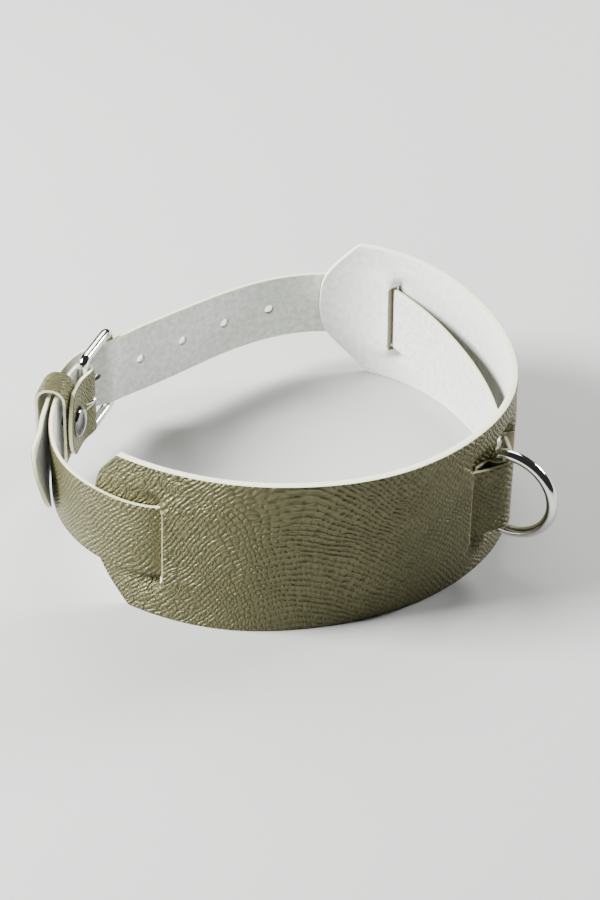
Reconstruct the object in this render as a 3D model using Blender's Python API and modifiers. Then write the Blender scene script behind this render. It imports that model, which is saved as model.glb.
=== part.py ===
"""A faux leather choker, buckled and standing on the lower edge of its wide panel.

One long strap weaves in and out through four upright slits in the panel, holds a D-ring at the
front, and is closed at the back by a buckle and a keeper. Metres, +Z up, the D-ring towards -Y.

Every leather piece is placed by three values: how far along the ring it is from the D-ring
(along, anticlockwise seen from above), its height, and how far out of the panel's face it lies.
"""

import math

import bmesh
import bpy
import numpy as np
from mathutils import Matrix, Vector

MM = 0.001

# Plan of the panel's outer face at the table, and how far its wall leans out at the top.
RING_PLAN = (
    # bearing_deg, radius_mm, lean_deg
    (0, 69.5, -1.0),
    (24, 69.0, -1.0),
    (48, 60.5, -1.0),
    (72, 56.5, -1.0),
    (96, 60.5, -1.5),
    (120, 62.5, -2.5),
    (144, 63.0, -4.0),
    (168, 59.0, -5.0),
    (192, 55.0, -4.5),
    (216, 52.0, -2.0),
    (240, 52.5, 0.0),
    (264, 55.5, 0.0),
    (288, 59.0, 0.0),
    (312, 61.5, -0.5),
    (336, 65.0, -1.0),
)
RING_CENTRE = (-6.72 * MM, 5.1 * MM)
D_RING_BEARING = 278.0

# Leather
PANEL = 2.0 * MM  # thickness of the panel's leather
STRAP = 1.2 * MM  # and of the strap's and keeper's
GAP = 0.3 * MM
PANEL_LENGTH = 238.0 * MM  # along its outer face at the table; about 232 mm through its middle
PANEL_HEIGHT = 43.4 * MM
CORNER_STARTS = (
    # height off the middle where a corner's slant begins, in mm: lower corner, upper corner
    (10.4, 14.4),  # the panel's end on the strap's free side
    (7.5, 10.4),  # and on the side of its holes
)
CORNER_SLOPE = 1.08  # how steeply a corner slants in
CORNER_ROUND = 4.0 * MM  # and how softly it begins
PANEL_END_REACH = 20.0 * MM  # how far in from an end the columns are drawn to its curve
STRAP_WIDTH = 20.0 * MM
STRAP_MID = PANEL_HEIGHT / 2
HALF_STRAP = STRAP_WIDTH / 2
TIP_RADIUS = 12.5 * MM  # of the strap's rounded ends
TIP_REACH = 8.0 * MM

# Slits. The strap lies outside the panel between the two inner slits and beyond the outer two.
LEFT_SLIT = 96.9 * MM
RIGHT_SLIT = 95.0 * MM
INNER_SLIT = 11.0 * MM
SLITS = (
    # along, which way the edge after it is pushed, how far the edge over the strap stands out
    # of the panel's face and the edge under the strap behind it, how fast that fades, and how
    # far in the strap dives across the slit, in mm
    (-LEFT_SLIT, 1, 1.0, 3.0, 6.0, 0.0),
    (-INNER_SLIT, -1, 1.0, 3.0, 6.0, 0.0),
    (INNER_SLIT, 1, 1.0, 3.0, 6.0, 0.0),
    (RIGHT_SLIT, -1, 1.6, 1.6, 9.0, 1.4),
)
SLIT_HALF_WIDTH = 0.7 * MM
SLIT_HALF_HEIGHT = 10.5 * MM
PUSH_END = 16.0 * MM  # height from the panel's middle where the push has died out
PUSH_WIDENS = 0.8  # how fast the step between a slit's edges widens past its ends
SPREAD_MIDDLE = 9.0 * MM  # how fast a push fades between the two middle slits
INNER_BOW = 5.0 * MM  # how far the strap hangs off the panel's inside
BOW_FULLNESS = 0.8  # under 1 fills the bow out towards its ends
OUTSIDE = STRAP / 2 + GAP  # strap's middle above the panel's outer face
INSIDE = -PANEL - GAP - STRAP / 2  # and behind its inner face

# D-ring and its tab
D_WIRE = 1.5 * MM  # radius of its wire, as are BUCKLE_WIRE and PRONG
D_OUT = 0.3 * MM  # its straight bar's middle above the panel's outer face
D_HALF_HEIGHT = 11.8 * MM
D_DEPTH = 16.15 * MM
D_CORNER = 2.2 * MM
D_ARC_PIECES = 14
TAB = 1.0 * MM  # thickness of its leather
TAB_REACH = 7.0 * MM  # how far each foot runs along from the bar
TAB_FOOT = (5.4 * MM, 4.0 * MM, 3.1 * MM)  # its facets, on the way in to the loop
TAB_TURN = D_WIRE + GAP + TAB / 2
TENT_TURN = D_WIRE + 2 * GAP + TAB + STRAP / 2

# Buckle, rivet and keeper. Places along are those of the strap's folded end, so they're negative.
BAR_ALONG = -178.0 * MM
BAR_OUT = -1.5 * MM
BUCKLE_WIRE = 1.5 * MM
FAR_BAR_ALONG = -194.2 * MM
FAR_BAR_OUT = 3.45 * MM
FRAME_HALF_HEIGHT = 12.1 * MM
FRAME_CORNER = 2.0 * MM
FAR_CORNER = 3.0 * MM
FOLD_TURN = BUCKLE_WIRE + GAP + STRAP / 2
FOLD_END = -159.5 * MM
FOLD_OUT = -3.25 * MM
FOLD_LEVEL = -171.0 * MM  # where the fold starts to open round the bar
SLOT_END = -174.0 * MM
SLOT_HALF_HEIGHT = 1.15 * MM
RIVET_ALONG = -166.5 * MM
RIVET_CAP = 4.3 * MM
RIVET_DOME = 1.6 * MM
RIVET_POST = 1.5 * MM
RIVET_BACK = 3.5 * MM
RIVET_BACK_THICK = 0.4 * MM
RIVET_RIM = 0.25 * MM
PRONG = 0.75 * MM
PRONG_TIP = 2.6 * MM  # how far it reaches past the far bar's middle
HOLE_RADIUS = 1.4 * MM
HOLE_PITCH = 14.9 * MM
FREE_HOLES = 4
FIRST_FREE_HOLE = -202.8 * MM
BUCKLED_HOLE = -185.8 * MM
BUCKLED_HOLE_STRETCH = 2.6  # the prong draws it long
COVERED_HOLE = -170.8 * MM  # beside the keeper
KEEPER_FROM = -170.0 * MM
KEEPER_TO = -161.0 * MM
KEEPER_WALL = STRAP
KEEPER_IN = -1.1 * MM  # inner sides of the keeper's loop
KEEPER_OUT = 5.4 * MM
KEEPER_HALF_HEIGHT = 12.0 * MM
KEEPER_CORNER = 3.0 * MM

# The strap's free end: it runs inside the far bar, over the near one and through the keeper.
FREE_END = (
    # along_mm, out_mm, lean_deg
    (-194.0, 0.9, 0.5),
    (-192.3, 1.0, 0.3),
    (-190.5, 1.6, 0.2),
    (-188.7, 2.4, 0.1),
    (-187.0, 3.1, 0.0),
    (-185.3, 3.6, 0.0),
    (-183.5, 3.95, 0.0),
    (-181.5, 4.15, 0.0),
    (-178.0, 4.15, 0.0),
    (-173.0, 4.0, 0.0),
    (-169.0, 3.6, 0.0),
    (-165.0, 3.2, 0.0),
    (-161.0, 2.9, 0.5),
    (-154.0, 3.0, 2.5),
    (-146.4, 3.3, 6.0),
    (-141.0, 4.35, 11.0),
    (-135.5, 5.8, 15.0),
)

# How far the strap's top leans out past the ring's own lean, where no panel is under it.
STRAP_LEAN = (
    # along_mm, lean_deg
    (-178.0, 0.0),
    (-160.0, 0.5),
    (-140.0, 2.0),
    (-128.0, 1.5),
    (-118.0, 0.0),
    (120.0, 0.0),
    (150.0, 2.0),
    (165.0, 4.0),
    (178.0, 4.5),
    (184.0, 2.5),
    (188.0, 0.5),
)


# Facets. Distances are in mm unless they say otherwise.
LONG_STEP = 8 * MM  # widest facet along the panel and strap
SHORT_STEP = 4 * MM  # and where the strap bends tightly
SLIT_STEPS = (SLIT_HALF_WIDTH / MM, 2.0, 4.5, 8.0, 13.0)  # off each slit, on both sides
FRONT_STEPS = (0.0, 1.6, 3.2, 5.0, 7.0)  # off the D-ring's bar, under the strap's tent
FRONT_CLEAR = 2.5 * MM  # how far inside the inner slits their own steps may reach
SHARED_END_STEPS = (0, 4, 8)  # in from the panel's ends
PANEL_END_STEPS = (1.5, 20)
PANEL_LEVELS = (6.0, SLIT_HALF_HEIGHT / MM, 12.5, 14.3, PUSH_END / MM, 18.6, 20.6, STRAP_MID / MM)
STRAP_LEVELS = (SLOT_HALF_HEIGHT / MM, 7.0, HALF_STRAP / MM)
SMOOTH_BELOW = math.radians(40)  # edges sharper than this show as edges


def drawn_in(end, level):
    """How far a slanted corner draws the panel's end in, at a height off its middle."""
    start = CORNER_STARTS[end > 0][level > 0] * MM
    past = abs(level) - start
    slant = past + math.hypot(past, CORNER_ROUND) + start - math.hypot(start, CORNER_ROUND)
    return slant * CORNER_SLOPE / 2


def spline(places, values, period=None):
    """A smooth curve through values at places: a natural cubic, or a closed one of this period."""
    x = np.asarray(places, float)
    y = np.asarray(values, float)
    if period is not None:
        x = np.append(x, x[0] + period)
        y = np.append(y, y[0])
    count = len(x)
    step = np.diff(x)
    slope = np.diff(y) / step
    system = np.zeros((count, count))
    right = np.zeros(count)
    for i in range(1, count - 1):
        system[i, i - 1 : i + 2] = step[i - 1], 2 * (step[i - 1] + step[i]), step[i]
        right[i] = 6 * (slope[i] - slope[i - 1])
    if period is None:
        system[0, 0] = system[-1, -1] = 1
    else:
        system[0, 0] = 1
        system[0, -1] = -1
        system[-1, 0] = 2 * step[0]
        system[-1, 1] = step[0]
        system[-1, -2] = step[-1]
        system[-1, -1] = 2 * step[-1]
        right[-1] = 6 * (slope[0] - slope[-1])
    bend = np.linalg.solve(system, right)

    def at(place):
        p = np.asarray(place, float)
        if period is not None:
            p = (p - x[0]) % period + x[0]
        i = np.clip(np.searchsorted(x, p, side="right") - 1, 0, count - 2)
        a = (x[i + 1] - p) / step[i]
        b = (p - x[i]) / step[i]
        curve = (a**3 - a) * bend[i] + (b**3 - b) * bend[i + 1]
        return a * y[i] + b * y[i + 1] + curve * step[i] ** 2 / 6

    return at


def ring_line():
    """The panel's outer face at the table as evenly measured points, with normals and leans."""
    bearing, radius, lean = (np.array(column) for column in zip(*RING_PLAN))
    radius_at = spline(bearing, radius * MM, 360.0)
    lean_at = spline(bearing, lean, 360.0)
    turn = np.linspace(0, 360, 1441) + D_RING_BEARING
    angle = np.radians(turn)
    r = radius_at(turn)
    x = RING_CENTRE[0] + r * np.cos(angle)
    y = RING_CENTRE[1] + r * np.sin(angle)
    along = np.append(0, np.cumsum(np.hypot(np.diff(x), np.diff(y))))
    tangent = np.stack([np.gradient(x, along), np.gradient(y, along)], 1)
    tangent[0] = tangent[-1] = tangent[0] + tangent[-1]
    tangent /= np.linalg.norm(tangent, axis=1)[:, None]
    return along, np.stack([x, y], 1), tangent, lean_at(turn)


ALONG, LINE, TANGENT, LEAN = ring_line()
ROUND = ALONG[-1]  # once round the ring


def on_ring(along):
    """Position, tangent, outward normal and lean of the panel's face at one place along it."""
    s = along % ROUND
    point = Vector([np.interp(s, ALONG, LINE[:, k]) for k in (0, 1)])
    tangent = Vector([np.interp(s, ALONG, TANGENT[:, k]) for k in (0, 1)]).normalized()
    normal = Vector((tangent.y, -tangent.x))
    return point, tangent, normal, math.tan(math.radians(np.interp(s, ALONG, LEAN)))


def place(along, height, out):
    """A point in space from its place along the ring, its height and how far out it lies."""
    point, _, normal, lean = on_ring(along)
    spot = point + normal * (out + height * lean)
    return Vector((spot.x, spot.y, height))


def push(along, level):
    """How far the slits push the panel out of its face, at a height level above its middle."""
    fade = max(0.0, min(1.0, (PUSH_END - abs(level)) / (PUSH_END - SLIT_HALF_HEIGHT)))
    fade = math.sin(fade * math.pi / 2) ** 2
    half = SLIT_HALF_WIDTH + max(0.0, abs(level) - SLIT_HALF_HEIGHT) * PUSH_WIDENS
    total = 0.0
    for slit, after, raised, sunk, spread, _ in SLITS:
        away = along - slit
        cross = after * math.sin(max(-1.0, min(1.0, away / half)) * math.pi / 2)
        if abs(slit) == INNER_SLIT and abs(along) < INNER_SLIT:
            spread = SPREAD_MIDDLE / MM
        swing = (raised - sunk + (raised + sunk) * cross) / 2
        total += swing * MM * math.exp(-max(0.0, abs(away) - half) / (spread * MM))
    return fade * total


def slit_level(along):
    """The nearest slit's place, the strap's level midway through it, and its raise, sink and dive."""
    slit, _, raised, sunk, _, dive = min(SLITS, key=lambda row: abs(row[0] - along))
    level = -PANEL / 2 + (raised - sunk) * MM / 2
    return abs(slit), level, raised * MM, sunk * MM, dive * MM


def tent(along):
    """The strap's middle over the D-ring: straight legs from the slits, round over the bar."""
    _, level, *_ = slit_level(along)
    rise = D_OUT - level
    slope = math.atan2(rise, INNER_SLIT) + math.asin(TENT_TURN / math.hypot(INNER_SLIT, rise))
    distance = abs(along)
    if distance < TENT_TURN * math.sin(slope):
        return D_OUT + math.sqrt(TENT_TURN**2 - distance**2)
    return level + (INNER_SLIT - distance) * math.tan(slope)


def strap_out(along):
    """How far out the strap's middle lies on its way through the slits."""
    distance = abs(along)
    if distance < INNER_SLIT:
        return tent(along)
    slit, level, raised, sunk, dive = slit_level(along)
    past = distance - slit
    if abs(past) < SLIT_HALF_WIDTH - 1e-9:
        return level + dive * past / SLIT_HALF_WIDTH / 2
    if slit > INNER_SLIT and past > 0:
        return OUTSIDE + push(along, 0) * (OUTSIDE - level - dive / 2) / sunk
    outer = RIGHT_SLIT if along > 0 else LEFT_SLIT
    bow = math.sin(math.pi * (distance - INNER_SLIT) / (outer - INNER_SLIT)) ** BOW_FULLNESS
    return INSIDE + push(along, 0) * (level - dive / 2 - INSIDE) / raised - INNER_BOW * bow


def free_end():
    """Functions of a place along: how far out the strap's free end lies, and its lean."""
    along, out, lean = (np.array(column) for column in zip(*FREE_END))
    return spline(ROUND + along * MM, out * MM), spline(ROUND + along * MM, np.radians(lean))


def strap_lean(along):
    """Tangent of the strap's lean past the ring's own."""
    places, leans = zip(*STRAP_LEAN)
    return math.tan(math.radians(np.interp(along / MM, places, leans)))


FREE_FROM, FREE_TO = (ROUND + FREE_END[k][0] * MM for k in (0, -1))
FREE_OUT, FREE_LEAN = free_end()


# ---- meshes ----


def material(name, colour, roughness, metallic):
    made = bpy.data.materials.new(name)
    made.use_nodes = True
    shader = made.node_tree.nodes["Principled BSDF"]
    shader.inputs["Base Color"].default_value = (*colour, 1)
    shader.inputs["Roughness"].default_value = roughness
    shader.inputs["Metallic"].default_value = metallic
    return made


def leather(name):
    """Dull gold faux leather."""
    return material(name, (0.27, 0.265, 0.155), 0.45, 0.3)


def polished_metal(name):
    return material(name, (0.75, 0.75, 0.73), 0.15, 1.0)


def add(name, data, collection, finish):
    made = bpy.data.objects.new(name, data)
    collection.objects.link(made)
    data.materials.append(finish)
    return made


def wall(name, middle, thickness, collection, finish, is_open=None):
    """A closed leather wall on a grid of middle points, middle[column][row], bent round the ring.

    It is thickened level with the table, so edges that are flat stay flat. The grid's cells
    for which is_open(column, row) is true are left out.
    """
    columns, rows = len(middle), len(middle[0])
    mesh = bmesh.new()
    bmesh.ops.create_grid(mesh, x_segments=columns - 1, y_segments=rows - 1, size=1)
    mesh.verts.ensure_lookup_table()
    spot = mesh.verts.layers.int.new("spot")
    for index, vert in enumerate(mesh.verts):
        vert.co = middle[index % columns][index // columns]
        vert[spot] = index
    if is_open is not None:
        mesh.faces.ensure_lookup_table()
        wide = columns - 1
        gone = [face for k, face in enumerate(mesh.faces) if is_open(k % wide, k // wide)]
        bmesh.ops.delete(mesh, geom=gone, context="FACES")
    mesh.normal_update()
    level = {vert[spot]: Vector((vert.normal.x, vert.normal.y, 0)).normalized() for vert in mesh.verts}
    made = bmesh.ops.extrude_face_region(mesh, geom=mesh.faces[:])
    moved = {item for item in made["geom"] if isinstance(item, bmesh.types.BMVert)}
    for vert in mesh.verts:
        vert.co += level[vert[spot]] * thickness * (0.5 if vert in moved else -0.5)
    bmesh.ops.triangulate(mesh, faces=mesh.faces)
    bmesh.ops.recalc_face_normals(mesh, faces=mesh.faces)
    data = bpy.data.meshes.new(name)
    mesh.to_mesh(data)
    mesh.free()
    data.shade_smooth()
    data.set_sharp_from_angle(angle=SMOOTH_BELOW)
    return add(name, data, collection, finish)


def stations(start, end, marks, widest):
    """Places from start to end through the marks, with no step wider than widest."""
    fixed = sorted({round(m, 7) for m in marks if start < m < end} | {start, end})
    places = [fixed[0]]
    for a, b in zip(fixed, fixed[1:]):
        count = max(1, math.ceil((b - a) / widest - 1e-6))
        places += [a + (b - a) * (k + 1) / count for k in range(count)]
    return places


def shared_marks():
    """Places along that panel and strap share, so that their facets run alike."""
    sides = (-1, 1)
    beside = [slit + side * step * MM for slit, *_ in SLITS for side in sides for step in SLIT_STEPS]
    beside = [along for along in beside if abs(along) > INNER_SLIT - FRONT_CLEAR]
    at_front = [side * step * MM for side in sides for step in FRONT_STEPS]
    end = PANEL_LENGTH / 2
    return beside + at_front + [side * (end - step * MM) for side in sides for step in SHARED_END_STEPS]


def make_panel(collection, finish):
    """The wide panel: slanted corners, four slits, and their edges pushed in and out of its face."""
    half = PANEL_LENGTH / 2
    end_marks = [side * (half - step * MM) for side in (-1, 1) for step in PANEL_END_STEPS]
    places = stations(-half, half, shared_marks() + end_marks, LONG_STEP)
    above = [level * MM for level in PANEL_LEVELS]
    levels = [-level for level in reversed(above)] + [0.0] + above
    middle = []
    for along in places:
        column = []
        for level in levels:
            drawn = drawn_in(along, level) * max(0.0, 1 - (half - abs(along)) / PANEL_END_REACH)
            spot = along - math.copysign(drawn, along)
            column.append(place(spot, STRAP_MID + level, push(along, level) - PANEL / 2))
        middle.append(column)

    def in_slit(i, j):
        across = any(abs(places[i] + places[i + 1] - 2 * slit) < SLIT_HALF_WIDTH for slit, *_ in SLITS)
        return across and abs(levels[j] + levels[j + 1]) < 2 * SLIT_HALF_HEIGHT

    wall("panel", middle, PANEL, collection, finish, in_slit)


def strap_path():
    """The strap's middle as (along, out, tangent of its lean), from the folded end to the tip."""
    fold_places = stations(FOLD_LEVEL, FOLD_END, [RIVET_ALONG], SHORT_STEP)
    path = [(along, FOLD_OUT, 0.0) for along in reversed(fold_places)]
    turn_out = BAR_OUT - FOLD_TURN
    path.append((SLOT_END, (FOLD_OUT + 3 * turn_out) / 4, 0.0))
    for turn in range(0, 181, 20):
        angle = math.radians(turn)
        along = BAR_ALONG - FOLD_TURN * math.sin(angle)
        path.append((along, BAR_OUT - FOLD_TURN * math.cos(angle), 0.0))
    marks = shared_marks() + [KEEPER_FROM, RIVET_ALONG]
    for along in stations(SLOT_END, FREE_FROM, marks, LONG_STEP):
        path.append((along, strap_out(along), strap_lean(along)))
    marks = [ROUND + row[0] * MM for row in FREE_END]
    for along in stations(FREE_FROM, FREE_TO, marks, SHORT_STEP)[1:]:
        path.append((along, float(FREE_OUT(along)), math.tan(FREE_LEAN(along))))
    return path


def make_strap(collection, finish):
    """The strap, with rounded ends and the prong's slot in its fold."""
    path = strap_path()
    above = [level * MM for level in STRAP_LEVELS]
    levels = [-level for level in reversed(above)] + above
    lengths = [0.0]
    for (a, out_a, _), (b, out_b, _) in zip(path, path[1:]):
        lengths.append(lengths[-1] + math.hypot(b - a, out_b - out_a))
    middle = []
    for (along, out, lean), length in zip(path, lengths):
        column = []
        from_end = min(length, lengths[-1] - length)
        for level in levels:
            round_off = TIP_RADIUS - math.sqrt(TIP_RADIUS**2 - level**2)
            spot = along - round_off * max(0.0, 1 - from_end / TIP_REACH)
            if spot > FREE_FROM:
                out, lean = float(FREE_OUT(spot)), math.tan(FREE_LEAN(spot))
            column.append(place(spot, STRAP_MID + level, out + level * lean))
        middle.append(column)

    def in_slot(i, j):
        at_middle = abs(levels[j] + levels[j + 1]) < SLOT_HALF_HEIGHT
        return at_middle and max(path[i][0], path[i + 1][0]) < SLOT_END + GAP

    return wall("strap", middle, STRAP, collection, finish, in_slot)


def through(name, along, low, high, radius, stretch, collection):
    """A cutter across the strap at one place, from low to high out of the face."""
    bpy.ops.mesh.primitive_cylinder_add(vertices=16, radius=radius, depth=high - low)
    made = bpy.context.active_object
    made.name = made.data.name = name
    _, tangent, normal, _ = on_ring(along)
    centre = place(along, STRAP_MID, (low + high) / 2)
    made.data.transform(Matrix((
        (tangent.x * stretch, 0, normal.x, centre.x),
        (tangent.y * stretch, 0, normal.y, centre.y),
        (0, 1, 0, centre.z),
        (0, 0, 0, 1),
    )))
    for other in made.users_collection:
        other.objects.unlink(made)
    collection.objects.link(made)
    made.hide_render = True
    made.display_type = "WIRE"
    return made


def cut(target, cutter):
    modifier = target.modifiers.new(cutter.name, "BOOLEAN")
    modifier.object = cutter
    modifier.operation = "DIFFERENCE"
    modifier.solver = "EXACT"


def punch(strap, keeper, cutters):
    """The strap's round holes, the one that the prong draws long, and the rivet's."""
    highest = max(out for along, out, _ in FREE_END if along < KEEPER_TO / MM)
    inner, outer = OUTSIDE - 2 * STRAP, highest * MM + STRAP
    between_layers = OUTSIDE + STRAP / 2 + GAP
    for k in range(FREE_HOLES):
        along = FIRST_FREE_HOLE - k * HOLE_PITCH
        cut(strap, through(f"cut_hole_{k + 1}", along, inner, outer, HOLE_RADIUS, 1.0, cutters))
    cut(strap, through("cut_covered_hole", COVERED_HOLE, between_layers, outer, HOLE_RADIUS, 1.0, cutters))
    stretch = BUCKLED_HOLE_STRETCH
    cut(strap, through("cut_buckled_hole", BUCKLED_HOLE, 0.0, outer, HOLE_RADIUS, stretch, cutters))
    low = FOLD_OUT - STRAP
    post = through("cut_rivet", RIVET_ALONG, low, between_layers, RIVET_POST + GAP, 1.0, cutters)
    cut(strap, post)
    cut(keeper, post)


def rounded_rectangle(low, high, half_height, low_corner, high_corner, pieces=4):
    """Points of a rounded rectangle, anticlockwise, from low to high and level about zero."""
    points = []
    top, bottom = half_height, -half_height
    for x, y, start in ((high, top, 0), (low, top, 90), (low, bottom, 180), (high, bottom, 270)):
        corner = high_corner if x == high else low_corner
        inset_x = x - math.copysign(corner, x - (low + high) / 2)
        inset_y = y - math.copysign(corner, y)
        for k in range(pieces + 1):
            angle = math.radians(start + 90 * k / pieces)
            points.append((inset_x + corner * math.cos(angle), inset_y + corner * math.sin(angle)))
    return points


def to_mesh(item):
    """The curve object remade as a mesh object of the same name, place and collection."""
    bpy.context.view_layer.update()
    depsgraph = bpy.context.evaluated_depsgraph_get()
    data = bpy.data.meshes.new_from_object(item.evaluated_get(depsgraph))
    shape = bmesh.new()
    shape.from_mesh(data)
    bmesh.ops.remove_doubles(shape, verts=shape.verts, dist=1e-6)
    bmesh.ops.recalc_face_normals(shape, faces=shape.faces)
    shape.to_mesh(data)
    shape.free()
    data.shade_smooth()
    data.set_sharp_from_angle(angle=SMOOTH_BELOW)
    name, collection, matrix = item.name, item.users_collection[0], item.matrix_world.copy()
    bpy.data.objects.remove(item)
    data.name = name
    made = bpy.data.objects.new(name, data)
    made.matrix_world = matrix
    collection.objects.link(made)
    return made


def make_keeper(collection, finish):
    """A band of leather round both layers of the strap: a rounded outline with an open middle."""
    data = bpy.data.curves.new("keeper", "CURVE")
    data.dimensions = "2D"
    data.fill_mode = "BOTH"
    data.extrude = (KEEPER_TO - KEEPER_FROM) / 2
    for grow in (KEEPER_WALL, 0.0):
        low, high, half = KEEPER_IN - grow, KEEPER_OUT + grow, KEEPER_HALF_HEIGHT + grow
        outline = rounded_rectangle(low, high, half, KEEPER_CORNER + grow, KEEPER_CORNER + grow)
        line = data.splines.new("POLY")
        line.points.add(len(outline) - 1)
        for point, (x, y) in zip(line.points, outline):
            point.co = (x, y, 0, 1)
        line.use_cyclic_u = True
    made = add("keeper", data, collection, finish)
    middle = (KEEPER_FROM + KEEPER_TO) / 2
    _, _, normal, lean = on_ring(middle)
    out = normal.to_3d()
    up = (out * lean + Vector((0, 0, 1))).normalized()
    axes = Matrix((out, up, out.cross(up))).transposed().to_4x4()
    made.matrix_world = Matrix.Translation(place(middle, STRAP_MID, 0)) @ axes
    return to_mesh(made)


def make_tab(collection, finish):
    """The tab: its two feet lie on the panel's middle and its loop goes round the D-ring's bar."""
    half = [(along, push(along, 0) + GAP + TAB / 2) for along in (TAB_REACH, *TAB_FOOT)]
    for turn in (-20, 0, 18, 36, 54, 72):
        angle = math.radians(turn)
        half.append((TAB_TURN * math.cos(angle), D_OUT + TAB_TURN * math.sin(angle)))
    path = [(-along, out) for along, out in half] + [(0.0, D_OUT + TAB_TURN)] + half[::-1]
    levels = (-HALF_STRAP, 0.0, HALF_STRAP)
    middle = [[place(along, STRAP_MID + level, out) for level in levels] for along, out in path]
    return wall("ring_tab", middle, TAB, collection, finish)


def wire(name, points, radius, collection, finish, closed=True):
    """A round wire through points, closed on itself or with capped ends."""
    data = bpy.data.curves.new(name, "CURVE")
    data.dimensions = "3D"
    data.bevel_depth = radius
    data.bevel_resolution = 3 if closed else 2
    data.use_fill_caps = not closed
    line = data.splines.new("POLY")
    line.points.add(len(points) - 1)
    for point, spot in zip(line.points, points):
        point.co = (*spot, 1)
    line.use_cyclic_u = closed
    line.use_smooth = True
    return add(name, data, collection, finish)


def make_d_ring(collection, finish):
    """The D-ring, its origin on the middle of its straight bar, standing straight out."""
    loop = []
    for turn in (0, 30, 60, 90):
        angle = math.radians(turn)
        loop.append((D_CORNER * (1 - math.cos(angle)), D_HALF_HEIGHT - D_CORNER * (1 - math.sin(angle))))
    lower = [(out, -height) for out, height in loop]
    straight = D_DEPTH - D_HALF_HEIGHT
    for k in range(D_ARC_PIECES + 1):
        angle = math.radians(90 - 180 * k / D_ARC_PIECES)
        loop.append((straight + D_HALF_HEIGHT * math.cos(angle), D_HALF_HEIGHT * math.sin(angle)))
    loop = [(0, -out, height) for out, height in loop + lower[::-1]]
    made = wire("d_ring", loop, D_WIRE, collection, finish)
    made.location = place(0, STRAP_MID, D_OUT)
    _, _, normal, _ = on_ring(0)
    made.rotation_euler = (0, 0, math.atan2(normal.y, normal.x) + math.pi / 2)
    return made


def make_frame(collection, finish):
    """The buckle's frame: a rounded rectangle of wire, its near bar in the strap's fold."""
    near = place(BAR_ALONG, STRAP_MID, BAR_OUT)
    far = place(FAR_BAR_ALONG, STRAP_MID, FAR_BAR_OUT)
    length = (far - near).length
    run = (far - near).normalized()
    outline = rounded_rectangle(0, length, FRAME_HALF_HEIGHT, FRAME_CORNER, FAR_CORNER)
    _, _, normal, lean = on_ring(BAR_ALONG)
    up = normal.to_3d() * lean + Vector((0, 0, 1))
    points = [near + run * x + up * y for x, y in outline]
    return wire("buckle_frame", points, BUCKLE_WIRE, collection, finish)


def make_prong(collection, finish):
    """The prong: hooked round the frame's near bar, through the strap, its tip on the far bar."""
    near = place(BAR_ALONG, STRAP_MID, BAR_OUT)
    far = place(FAR_BAR_ALONG, STRAP_MID, FAR_BAR_OUT)
    run = (far - near).normalized()
    out = Vector((-run.y, run.x, 0))
    hook = BUCKLE_WIRE + GAP + PRONG
    length = (far - near).length
    points = []
    for turn in range(-60, 181, 30):
        angle = math.radians(turn)
        points.append((-hook * math.sin(angle), -hook * math.cos(angle)))
    points += [(length / 2, hook), (length, hook), (length + PRONG_TIP, hook - GAP)]
    line = [near + run * x + out * y for x, y in points]
    return wire("buckle_prong", line, PRONG, collection, finish, closed=False)


def make_rivet(collection, finish):
    """The rivet: a domed cap on the fold, a post through the layers and a flat back."""
    seat = FOLD_OUT - STRAP / 2 - 1.5 * GAP
    back = -(OUTSIDE + STRAP / 2 + 0.8 * GAP - seat)
    end = back - RIVET_BACK_THICK
    profile = [(0.0, RIVET_DOME)]
    for share in (0.35, 0.62, 0.83, 0.95):
        profile.append((RIVET_CAP * share, RIVET_DOME * math.sqrt(1 - share**2)))
    profile += [(RIVET_CAP, RIVET_RIM), (RIVET_CAP, 0.0), (RIVET_POST, 0.0)]
    profile += [(RIVET_POST, back), (RIVET_BACK, back), (RIVET_BACK, end), (0.0, end)]
    data = bpy.data.meshes.new("rivet")
    edges = [(k, k + 1) for k in range(len(profile) - 1)]
    data.from_pydata([(x, 0, z) for x, z in profile], edges, [])
    made = add("rivet", data, collection, finish)
    turned = made.modifiers.new("turned", "SCREW")
    turned.steps = turned.render_steps = 20
    turned.use_merge_vertices = True
    turned.merge_threshold = 0.00001
    _, _, normal, _ = on_ring(RIVET_ALONG)
    made.location = place(RIVET_ALONG, STRAP_MID, seat)
    made.rotation_euler = (-normal.to_3d()).to_track_quat("Z", "Y").to_euler()
    return made


def main():
    for item in list(bpy.data.objects):
        bpy.data.objects.remove(item)
    scene = bpy.context.scene
    parts = bpy.data.collections.new("faux_leather_choker")
    cutters = bpy.data.collections.new("cutters")
    for collection in (parts, cutters):
        scene.collection.children.link(collection)
    make_panel(parts, leather("panel_leather"))
    strap = make_strap(parts, leather("strap_leather"))
    keeper = make_keeper(parts, leather("keeper_leather"))
    punch(strap, keeper, cutters)
    make_tab(parts, leather("tab_leather"))
    make_d_ring(parts, polished_metal("d_ring_metal"))
    make_frame(parts, polished_metal("frame_metal"))
    make_prong(parts, polished_metal("prong_metal"))
    make_rivet(parts, polished_metal("rivet_metal"))


main()
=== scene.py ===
"""The looks of a faux leather choker: gold pebbled grain, suede backs, cut edges and nickel.

The leather pieces are made again on their solids' own forms, finely enough for soft slit lips
and creases, each with a flat pattern's coordinates for its grain. The metal pieces are made
again as smooth wires. Metres, +Z up, the D-ring towards -Y.
"""
import itertools
from functools import partialmethod
from math import asin, atan2, ceil, copysign, cos, exp, hypot, pi, radians, sin, sqrt, tan

import bmesh
import bpy
import numpy as np
from mathutils import Matrix, Vector


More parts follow.
